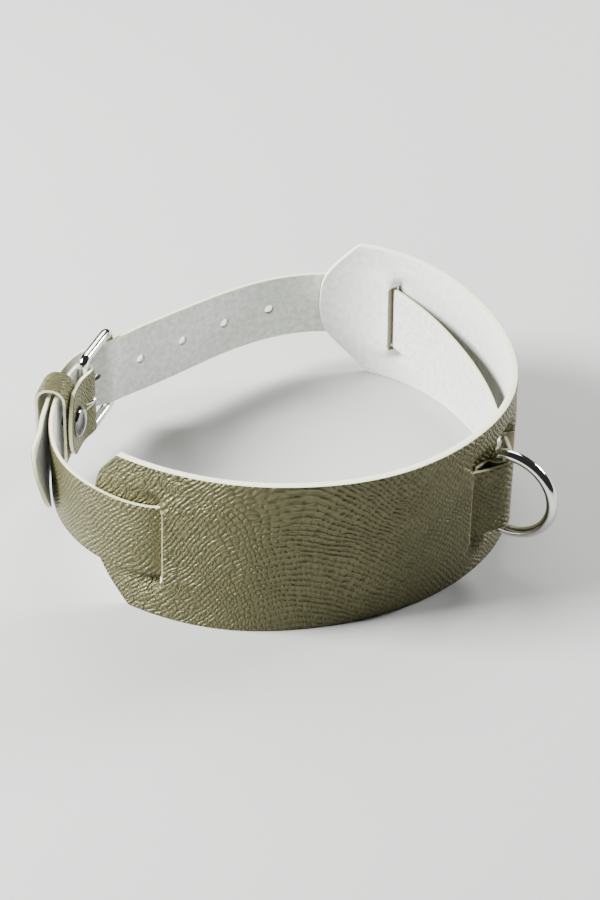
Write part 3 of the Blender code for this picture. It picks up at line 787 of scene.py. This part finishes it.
def strap_path():
    """The strap's middle as (along, out, tangent of its lean), from the folded end to the tip."""
    fold_places = stations(FOLD_LEVEL, FOLD_END, [RIVET_ALONG], STEP)
    path = [(along, FOLD_OUT, 0.0) for along in reversed(fold_places)]
    under_bar, over_bar = (BAR_ALONG, BAR_OUT - FOLD_TURN), (BAR_ALONG, BAR_OUT + FOLD_TURN)
    path += eased((FOLD_LEVEL, FOLD_OUT), under_bar, (0.2, 0.4, 0.6, 0.8))
    for turn in range(0, 181, 10):
        angle = radians(turn)
        along = BAR_ALONG - FOLD_TURN * sin(angle)
        path.append((along, BAR_OUT - FOLD_TURN * cos(angle), 0.0))
    path += eased(over_bar, (SLOT_END, strap_out(SLOT_END)), (0.25, 0.5, 0.75, 1.0))
    for along in stations(SLOT_END, FREE_FROM, SLIT_SIDES + [0.0], STEP)[1:]:
        path.append((along, strap_out(along), strap_lean(along)))
    marks = [ROUND + row[0] * MM for row in FREE_END]
    for along in stations(FREE_FROM, FREE_TO, marks, STEP)[1:]:
        path.append((along, float(FREE_OUT(along)), tan(FREE_LEAN(along))))
    return path


def woven_strap(finishes):
    """The strap, with rounded ends and the prong's slot in its fold."""
    path = strap_path()
    levels = both_ways(HALF_STRAP, [SLOT_HALF_HEIGHT])
    steps = zip(path, path[1:])
    lengths = running(hypot(b - a, out_b - out_a) for (a, out_a, _), (b, out_b, _) in steps)
    cut_lengths = run_lengths([place(along, STRAP_MID, out) for along, out, _ in path])
    middle, flat = [], []
    for (along, out, lean), length, cut_length in zip(path, lengths, cut_lengths):
        column, cut = [], []
        from_end = min(length, lengths[-1] - length)
        for level in levels:
            round_off = TIP_RADIUS - sqrt(TIP_RADIUS**2 - level**2)
            drawn = round_off * max(0.0, 1 - from_end / TIP_REACH)
            spot = along - drawn
            if spot > FREE_FROM:
                out, lean = float(FREE_OUT(spot)), tan(FREE_LEAN(spot))
            column.append(place(spot, STRAP_MID + level, out + level * lean))
            inward = 1 if length < lengths[-1] / 2 else -1
            cut.append((cut_length + inward * drawn, level))
        middle.append(column)
        flat.append(cut)

    def in_slot(i, j):
        beyond_fold = max(path[i][0], path[i + 1][0]) < SLOT_END + GAP and i < len(path) / 2
        return beyond_fold and abs(levels[j] + levels[j + 1]) < 2 * SLOT_HALF_HEIGHT

    strap = leather_sheet("woven_strap", middle, flat, STRAP, finishes, in_slot)
    return strap, cut_lengths[-1]


def hole_cutter(along, low, high, radius, stretch, finish):
    """A cutter across the strap at one place, from low to high out of the face."""
    mesh = bmesh.new()
    bmesh.ops.create_cone(
        mesh, cap_ends=True, segments=32, radius1=radius, radius2=radius, depth=high - low
    )
    _, tangent, normal, _ = on_ring(along)
    centre = place(along, STRAP_MID, (low + high) / 2)
    stand = Matrix((
        (tangent.x * stretch, 0, normal.x, centre.x),
        (tangent.y * stretch, 0, normal.y, centre.y),
        (0, 1, 0, centre.z),
        (0, 0, 0, 1),
    ))
    bmesh.ops.transform(mesh, matrix=stand, verts=mesh.verts)
    bmesh.ops.recalc_face_normals(mesh, faces=mesh.faces)
    return as_object("hole_cutter", mesh, [finish], smooth=False)


def cut_out(piece, cutters):
    """Punches the cutters' holes through a piece and does away with the cutters."""
    for cutter in cutters:
        modifier = piece.modifiers.new("punch", "BOOLEAN")
        modifier.object = cutter
        modifier.operation = "DIFFERENCE"
        modifier.solver = "EXACT"
        modifier.material_mode = "TRANSFER"
    settle(piece)
    for cutter in cutters:
        shape = cutter.data
        bpy.data.objects.remove(cutter)
        bpy.data.meshes.remove(shape)


def punch(strap, keeper, finish):
    """The strap's round holes, the one that the prong draws long, and the rivet's."""
    highest = max(out for along, out, _ in FREE_END if along < KEEPER_TO / MM)
    inner, outer = OUTSIDE - 2 * STRAP, highest * MM + STRAP
    between_layers = OUTSIDE + STRAP / 2 + GAP
    free = [FIRST_FREE_HOLE - k * HOLE_PITCH for k in range(FREE_HOLES)]
    holes = [(along, inner, outer, HOLE_RADIUS, 1.0) for along in free]
    holes.append((COVERED_HOLE, between_layers, outer, HOLE_RADIUS, 1.0))
    holes.append((BUCKLED_HOLE, 0.0, outer, HOLE_RADIUS, BUCKLED_HOLE_STRETCH))
    post = (RIVET_ALONG, FOLD_OUT - STRAP, between_layers, RIVET_POST + GAP, 1.0)
    cut_out(strap, [hole_cutter(*hole, finish) for hole in holes + [post]])
    cut_out(keeper, [hole_cutter(*post, finish)])


def rounded_rectangle(low, high, half_height, low_corner, high_corner):
    """Points of a rounded rectangle, anticlockwise, from low to high and level about zero."""
    points = []
    top, bottom = half_height, -half_height
    for x, y, start in ((high, top, 0), (low, top, 90), (low, bottom, 180), (high, bottom, 270)):
        corner = high_corner if x == high else low_corner
        inset_x = x - copysign(corner, x - (low + high) / 2)
        inset_y = y - copysign(corner, y)
        for k in range(CORNER_PIECES + 1):
            angle = radians(start + 90 * k / CORNER_PIECES)
            points.append((inset_x + corner * cos(angle), inset_y + corner * sin(angle)))
    return points


def spaced(points, step):
    """The closed line through points with more points on its long sides."""
    made = []
    for (x, y), (u, v) in zip(points, points[1:] + points[:1]):
        count = max(1, ceil(hypot(u - x, v - y) / step))
        made += [(x + (u - x) * k / count, y + (v - y) * k / count) for k in range(count)]
    return made


def keeper_band(finishes):
    """The keeper: a band round both layers, its outer corners softly arched."""
    middle_along = (KEEPER_FROM + KEEPER_TO) / 2
    _, _, normal, lean = on_ring(middle_along)
    out = normal.to_3d()
    up = (out * lean + Vector((0, 0, 1))).normalized()
    side = out.cross(up)
    centre = place(middle_along, STRAP_MID, 0)
    grow = KEEPER_WALL / 2
    corner = KEEPER_CORNER + grow
    inner, outer, top = KEEPER_IN - grow, KEEPER_OUT + grow, KEEPER_HALF_HEIGHT + grow
    outline = spaced(rounded_rectangle(inner, outer, top, corner, corner), STEP)
    half = (KEEPER_TO - KEEPER_FROM) / 2
    across = stations(-half, half, [], STEP)
    mesh = bmesh.new()
    pattern = mesh.loops.layers.uv.new("pattern")
    rings = {}
    steps = zip(outline, outline[1:] + outline[:1])
    lengths = running(hypot(u - x, v - y) for (x, y), (u, v) in steps)
    count = len(outline)
    for wall, sign in (("outer", 1), ("inner", -1)):
        for j, width in enumerate(across):
            worn = EDGE_ROUND if j in (0, len(across) - 1) else 0.0
            for i, (x, y) in enumerate(outline):
                before, after = outline[i - 1], outline[(i + 1) % count]
                run = Vector((after[0] - before[0], after[1] - before[1])).normalized()
                away = Vector((run.y, -run.x)) * sign * (grow - worn)
                point = centre + out * (x + away.x) + up * (y + away.y) + side * width
                rings[wall, j, i] = mesh.verts.new(point)

    last = len(across) - 1
    strips = [("outer", j, "outer", j + 1, GRAIN) for j in range(last)]
    strips += [("inner", j, "inner", j + 1, SUEDE) for j in range(last)]
    strips += [("outer", j, "inner", j, CUT_EDGE) for j in (0, last)]
    for first, j, second, k, slot in strips:
        for i in range(count):
            n = (i + 1) % count
            corners = (first, j, i), (first, j, n), (second, k, n), (second, k, i)
            face = mesh.faces.new([rings[corner] for corner in corners])
            face.material_index = slot
            spots = (i, j), (i + 1, j), (i + 1, k), (i, k)
            for loop, (run, row) in zip(face.loops, spots):
                loop[pattern].uv = lengths[run], across[row]
    bmesh.ops.recalc_face_normals(mesh, faces=mesh.faces)
    return as_object("keeper_band", mesh, finishes)


def d_ring_tab(finishes):
    """The tab: its feet lie on the panel's middle and its loop goes round the D-ring's bar."""
    half = []
    for along in stations(TAB_FOOT, TAB_REACH, [], STEP)[::-1]:
        half.append((along, push(along, 0) + GAP + TAB / 2))
    for turn in range(-20, 89, 12):
        angle = radians(turn)
        half.append((TAB_TURN * cos(angle), D_OUT + TAB_TURN * sin(angle)))
    path = [(-along, out) for along, out in half] + [(0.0, D_OUT + TAB_TURN)] + half[::-1]
    levels = stations(-HALF_STRAP, HALF_STRAP, [0.0], STEP)
    lengths = run_lengths([place(along, STRAP_MID, out) for along, out in path])
    middle = [[place(along, STRAP_MID + level, out) for level in levels] for along, out in path]
    flat = [[(length, level) for level in levels] for length in lengths]
    tab = leather_sheet("d_ring_tab", middle, flat, TAB, finishes, worn=TAB_EDGE_ROUND)
    return tab, lengths[-1]


# ---- metal pieces ----


def wire(name, points, radius, finish, closed=True, sides=WIRE_SIDES):
    """A smooth round wire through points: closed on itself, or with rounded ends."""
    points = [Vector(point) for point in points]
    count = len(points)
    mesh = bmesh.new()
    rings = []
    normal = None
    stretches = []
    for i, point in enumerate(points):
        before = points[i - 1] if closed or i else point
        after = points[(i + 1) % count] if closed or i < count - 1 else point
        run = (after - before).normalized()
        if normal is None:
            helper = Vector((0, 0, 1)) if abs(run.z) < 0.8 else Vector((1, 0, 0))
            normal = run.cross(helper).normalized()
        normal = (normal - run * normal.dot(run)).normalized()
        stretches.append((point, run, normal.copy(), radius))
    if not closed:
        for end, sign in ((0, -1), (-1, 1)):
            point, run, across, _ = stretches[end]
            cap = []
            for turn in END_TURNS:
                angle = radians(turn)
                reach = point + run * sign * radius * sin(angle) * END_REACH
                cap.append((reach, run, across, radius * cos(angle)))
            stretches = stretches + cap if sign > 0 else cap[::-1] + stretches
    for point, run, across, r in stretches:
        other = run.cross(across)
        ring = []
        for k in range(sides):
            angle = 2 * pi * k / sides
            away = across * cos(angle) + other * sin(angle)
            ring.append(mesh.verts.new(point + away * r))
        rings.append(ring)
    pairs = list(zip(rings, rings[1:]))
    if closed:
        spans = [(rings[-1][0].co - corner.co).length for corner in rings[0]]
        shift = spans.index(min(spans))  # the first ring is turned to meet the last one
        pairs.append((rings[-1], rings[0][shift:] + rings[0][:shift]))
    for first, second in pairs:
        for k in range(sides):
            n = (k + 1) % sides
            mesh.faces.new((first[k], first[n], second[n], second[k]))
    if not closed:
        for ring in (rings[0], rings[-1]):
            mesh.faces.new(ring)
    bmesh.ops.recalc_face_normals(mesh, faces=mesh.faces)
    return as_object(name, mesh, [finish], smooth_below=None)


def d_ring_wire(finish):
    """The D-ring, standing straight out of the strap, its bar in the tab's loop."""
    loop = []
    for turn in range(0, 91, 9):
        angle = radians(turn)
        drop = D_CORNER * (1 - sin(angle))
        loop.append((D_CORNER * (1 - cos(angle)), D_HALF_HEIGHT - drop))
    lower = [(out, -height) for out, height in loop]
    straight = D_DEPTH - D_HALF_HEIGHT
    for k in range(D_ARC_PIECES + 1):
        angle = radians(90 - 180 * k / D_ARC_PIECES)
        loop.append((straight + D_HALF_HEIGHT * cos(angle), D_HALF_HEIGHT * sin(angle)))
    loop += lower[::-1]
    bar = place(0, STRAP_MID, D_OUT)
    _, _, normal, _ = on_ring(0)
    points = [bar + normal.to_3d() * out + Vector((0, 0, height)) for out, height in loop]
    return wire("d_ring_wire", points, D_WIRE, finish)


def buckle_run():
    """Where the buckle's near bar is, and the way and distance to its far bar."""
    near = place(BAR_ALONG, STRAP_MID, BAR_OUT)
    far = place(FAR_BAR_ALONG, STRAP_MID, FAR_BAR_OUT)
    return near, (far - near).normalized(), (far - near).length


def buckle_wire(finish):
    """The buckle's frame: a rounded rectangle of wire, its near bar in the strap's fold."""
    near, run, length = buckle_run()
    outline = rounded_rectangle(0, length, FRAME_HALF_HEIGHT, FRAME_CORNER, FAR_CORNER)
    outline = spaced(outline, FRAME_STEP)
    _, _, normal, lean = on_ring(BAR_ALONG)
    up = normal.to_3d() * lean + Vector((0, 0, 1))
    line = [near + run * x + up * y for x, y in outline]
    return wire("buckle_wire", line, BUCKLE_WIRE, finish)


def prong_wire(finish):
    """The prong: hooked round the frame's near bar, through the strap, its tip on the far bar."""
    near, run, length = buckle_run()
    out = Vector((-run.y, run.x, 0))
    hook = BUCKLE_WIRE + GAP + PRONG
    points = []
    for turn in range(-60, 181, 15):
        angle = radians(turn)
        points.append((-hook * sin(angle), -hook * cos(angle)))
    points += [(length * share, hook) for share in (0.15, 0.3, 0.5, 0.7, 0.85, 1.0)]
    points.append((length + PRONG_TIP, hook - GAP))
    line = [near + run * x + out * y for x, y in points]
    return wire("prong_wire", line, PRONG, finish, closed=False, sides=PRONG_SIDES)


def rivet_cap(finish):
    """The rivet: a domed cap on the fold, a post through the layers and a flat back."""
    seat = FOLD_OUT - STRAP / 2 - 1.5 * GAP
    back = -(OUTSIDE + STRAP / 2 + 0.8 * GAP - seat)
    end = back - RIVET_BACK_THICK
    profile = [(0.0, RIVET_DOME)]
    for k in range(1, 13):
        share = sin(radians(7 * k))
        profile.append((RIVET_CAP * share, RIVET_DOME * sqrt(1 - share**2)))
    profile += [(RIVET_CAP, RIVET_RIM / 2), (RIVET_CAP * 0.985, 0.0), (RIVET_POST, 0.0)]
    profile += [(RIVET_POST, back), (RIVET_BACK, back), (RIVET_BACK, end), (0.0, end)]
    mesh = bmesh.new()
    line = [mesh.verts.new((x, 0, z)) for x, z in profile]
    edges = [mesh.edges.new(pair) for pair in zip(line, line[1:])]
    turn = {"cent": (0, 0, 0), "axis": (0, 0, 1), "angle": 2 * pi, "steps": RIVET_STEPS}
    bmesh.ops.spin(mesh, geom=line + edges, use_merge=True, **turn)
    bmesh.ops.remove_doubles(mesh, verts=mesh.verts, dist=1e-6)
    _, _, normal, _ = on_ring(RIVET_ALONG)
    stand = (-normal.to_3d()).to_track_quat("Z", "Y").to_matrix().to_4x4()
    stand = Matrix.Translation(place(RIVET_ALONG, STRAP_MID, seat)) @ stand
    bmesh.ops.transform(mesh, matrix=stand, verts=mesh.verts)
    bmesh.ops.recalc_face_normals(mesh, faces=mesh.faces)
    return as_object("rivet_cap", mesh, [finish])


# ---- fuzz of the cut edges ----


def fuzz_tree(finish):
    """Geometry Nodes: short fibres that stand at random out of a sheet's cut edges."""
    tree = bpy.data.node_groups.new("edge_fuzz", "GeometryNodeTree")
    for name, kind in (("Geometry", "Geometry"), ("Density", "Float"), ("Seed", "Int")):
        tree.interface.new_socket(name, in_out="INPUT", socket_type="NodeSocket" + kind)
    tree.interface.new_socket("Geometry", in_out="OUTPUT", socket_type="NodeSocketGeometry")
    nodes = Nodes(tree)
    node = nodes.node
    entry = tree.nodes.new("NodeGroupInput")
    given = {socket.name: Shade(nodes, socket) for socket in entry.outputs}
    seed = given["Seed"]

    slot = node("GeometryNodeInputMaterialIndex")
    same = {"data_type": "INT", "operation": "EQUAL"}
    is_edge = node("FunctionNodeCompare", same, {2: slot, 3: CUT_EDGE})
    spot = node("GeometryNodeInputPosition")
    height = node("ShaderNodeSeparateXYZ", None, {0: spot}, output=2)
    above = {"data_type": "FLOAT", "operation": "GREATER_THAN"}
    is_high = node("FunctionNodeCompare", above, {0: height, 1: FIBRES_FROM})
    both = node("FunctionNodeBooleanMath", {"operation": "AND"}, {0: is_edge, 1: is_high})
    tufts = node("ShaderNodeTexNoise", None, {"Scale": TUFT_SCALE, "Detail": 1.0})
    thick = node("ShaderNodeMapRange", None, {"Value": tufts, 1: 0.45, 2: 0.7})
    inputs = {"Mesh": given["Geometry"], "Selection": both, "Seed": seed}
    inputs["Density"] = thick * given["Density"]
    points = node("GeometryNodeDistributePointsOnFaces", None, inputs)
    upright = Shade(nodes, points.socket.node.outputs["Rotation"])

    inputs = {"Vertices": 3, "Radius Top": 0.0}
    inputs |= {"Radius Bottom": FIBRE_THICK, "Depth": FIBRE_LENGTH}
    fibre = node("GeometryNodeMeshCone", None, inputs)
    inputs = {0: tuple(-turn for turn in FIBRE_TILT), 1: FIBRE_TILT, "Seed": seed}
    tilt = node("FunctionNodeRandomValue", {"data_type": "FLOAT_VECTOR"}, inputs)
    turned = node("FunctionNodeRotateEuler", {"space": "LOCAL"}, {0: upright, 1: tilt})
    inputs = {2: SHORTEST_FIBRE, 3: 1.0, "Seed": seed}
    size = node("FunctionNodeRandomValue", {"data_type": "FLOAT"}, inputs, output=1)
    inputs = {"Points": points, "Instance": fibre, "Rotation": turned, "Scale": size}
    placed = node("GeometryNodeInstanceOnPoints", None, inputs)
    real = node("GeometryNodeRealizeInstances", None, {0: placed})
    dressed = node("GeometryNodeSetMaterial", None, {"Geometry": real, "Material": finish})
    nodes.feed(tree.nodes.new("NodeGroupOutput").inputs[0], dressed)
    return tree


def fuzz(name, sheet, tree, density, seed):
    """The fibres along one sheet's cut edges, as a plain mesh."""
    grower = bpy.data.objects.new(name, sheet.data.copy())
    bpy.context.scene.collection.objects.link(grower)
    modifier = grower.modifiers.new("fuzz", "NODES")
    modifier.node_group = tree
    values = {"Density": density, "Seed": seed}
    for item in tree.interface.items_tree:
        if item.name in values:
            modifier[item.identifier] = values[item.name]
    settle(grower)
    return grower


# ---- studio ----

LIGHTS = (
    # name, azimuth_deg, elevation_deg, distance_m, side_m, watts
    ("left_key", 124.0, 34.0, 0.9, 0.35, 38.0),
    ("back_light", 30.0, 48.0, 1.0, 0.6, 9.0),
    ("right_fill", -30.0, 24.0, 1.1, 0.3, 20.0),
)
LIT_POINT = Vector((0, 0, 0.02))
SKY, SKY_STRENGTH = (0.62, 0.66, 0.68, 1), 0.06
CAMERA_SPOT = (-0.38012, -0.2168, 0.3335)
CAMERA_AZIMUTH, CAMERA_ELEVATION = -149.7, 36  # of the camera, seen from its target


def heading(azimuth, elevation):
    """The direction of an azimuth from +X and an elevation, in degrees."""
    a, e = radians(azimuth), radians(elevation)
    return Vector((cos(a) * cos(e), sin(a) * cos(e), sin(e)))


def studio():
    """A plain pale floor, a soft key light, a back light, a fill light and the camera."""
    scene = bpy.context.scene
    bpy.ops.mesh.primitive_plane_add(size=6, location=(0, 0, -0.0002))
    floor = bpy.context.active_object
    floor.name = floor.data.name = "studio_floor"
    paint = Paint("pale_floor")
    floor.data.materials.append(paint.finish(Base_Color=(0.50, 0.50, 0.49), Roughness=0.75))

    world = bpy.data.worlds.new("studio")
    scene.world = world
    world.use_nodes = True
    sky = world.node_tree.nodes["Background"].inputs
    sky["Color"].default_value = SKY
    sky["Strength"].default_value = SKY_STRENGTH

    for name, azimuth, elevation, distance, side, power in LIGHTS:
        light = bpy.data.lights.new(name, "AREA")
        light.shape = "SQUARE"
        light.size = side
        light.energy = power
        lamp = bpy.data.objects.new(name, light)
        away = heading(azimuth, elevation)
        lamp.location = LIT_POINT + away * distance
        lamp.rotation_euler = away.to_track_quat("Z", "Y").to_euler()
        scene.collection.objects.link(lamp)

    lens = bpy.data.cameras.new("camera")
    lens.sensor_fit = "VERTICAL"
    lens.sensor_height = 36
    lens.lens = 80
    lens.clip_start = 0.01
    camera = bpy.data.objects.new("camera", lens)
    camera.rotation_mode = "QUATERNION"
    back = heading(CAMERA_AZIMUTH, CAMERA_ELEVATION)
    camera.rotation_quaternion = back.to_track_quat("Z", "Y")
    camera.location = CAMERA_SPOT
    scene.collection.objects.link(camera)
    scene.camera = camera


# ---- making ----

grain = gold_grain("gold_grain")
strap_grain = gold_grain("strap_gold_grain", fan_middle=150.0)
back = suede("suede_back")
strap_back = suede("strap_suede_back", mottle=0.16)
edge = cut_edge("cream_cut_edge")
thin_edge = cut_edge("yellow_cream_cut_edge", (0.82, 0.78, 0.52))
# The other slits' lips: a darker, yellower cream than the panel's other cut edges.
lip = cut_edge("darker_slit_lip", (0.60, 0.54, 0.37))
# Painted shade: the right slit's lips, coloured dark olive as if in shadow.
painted_shade_lip_finish = cut_edge("shadowed_slit_lip", (0.28, 0.26, 0.18))
# Painted shade: the punched holes' walls are coloured near black, as if in shadow, instead of the
# cut edge's cream.
painted_shade_hole_wall = cut_edge("hole_wall_painted_shade", (0.16, 0.15, 0.11))
fuzz_finish = cut_edge("fuzz_white", (0.92, 0.92, 0.86))
plate = nickel("polished_nickel")
# Painted reflection: the rivet's nickel is coloured dark, as if it mirrored dark surroundings,
# though it is the same nickel as the frame.
painted_dark_reflection_plate = nickel("nickel_painted_dark_reflection", (0.17, 0.17, 0.16), (0.26, 0.26, 0.25))

panel = wide_panel((grain, back, edge, lip, painted_shade_lip_finish))
strap, strap_length = woven_strap((strap_grain, strap_back, thin_edge))
keeper = keeper_band((strap_grain, back, thin_edge))
tab, tab_length = d_ring_tab((strap_grain, back, thin_edge))
punch(strap, keeper, painted_shade_hole_wall)

ring = d_ring_wire(plate)
buckle = buckle_wire(plate)
prong = prong_wire(plate)
# the rivet wears the nickel with the painted dark reflection
rivet = rivet_cap(painted_dark_reflection_plate)

tree = fuzz_tree(fuzz_finish)
panel_fuzz = fuzz("panel_edge_fuzz", panel, tree, PANEL_FIBRES, 5)
strap_fuzz = fuzz("strap_edge_fuzz", strap, tree, STRAP_FIBRES, 8)
bpy.data.node_groups.remove(tree)

for piece, node, slot in (
    (panel, "panel", "panel_leather"),
    (strap, "strap", "strap_leather"),
    (keeper, "keeper", "keeper_leather"),
    (tab, "ring_tab", "tab_leather"),
    (buckle, "buckle_frame", "frame_metal"),
    (prong, "buckle_prong", "prong_metal"),
    (rivet, "rivet", "rivet_metal"),
):
    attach(piece, "collar")
    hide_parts(node)
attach(ring, "ring")
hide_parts("d_ring")
for piece, slot in ((panel_fuzz, "panel_leather"), (strap_fuzz, "strap_leather")):
    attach(piece, "collar")

panel_length, panel_area = panel_as_cut()

studio()
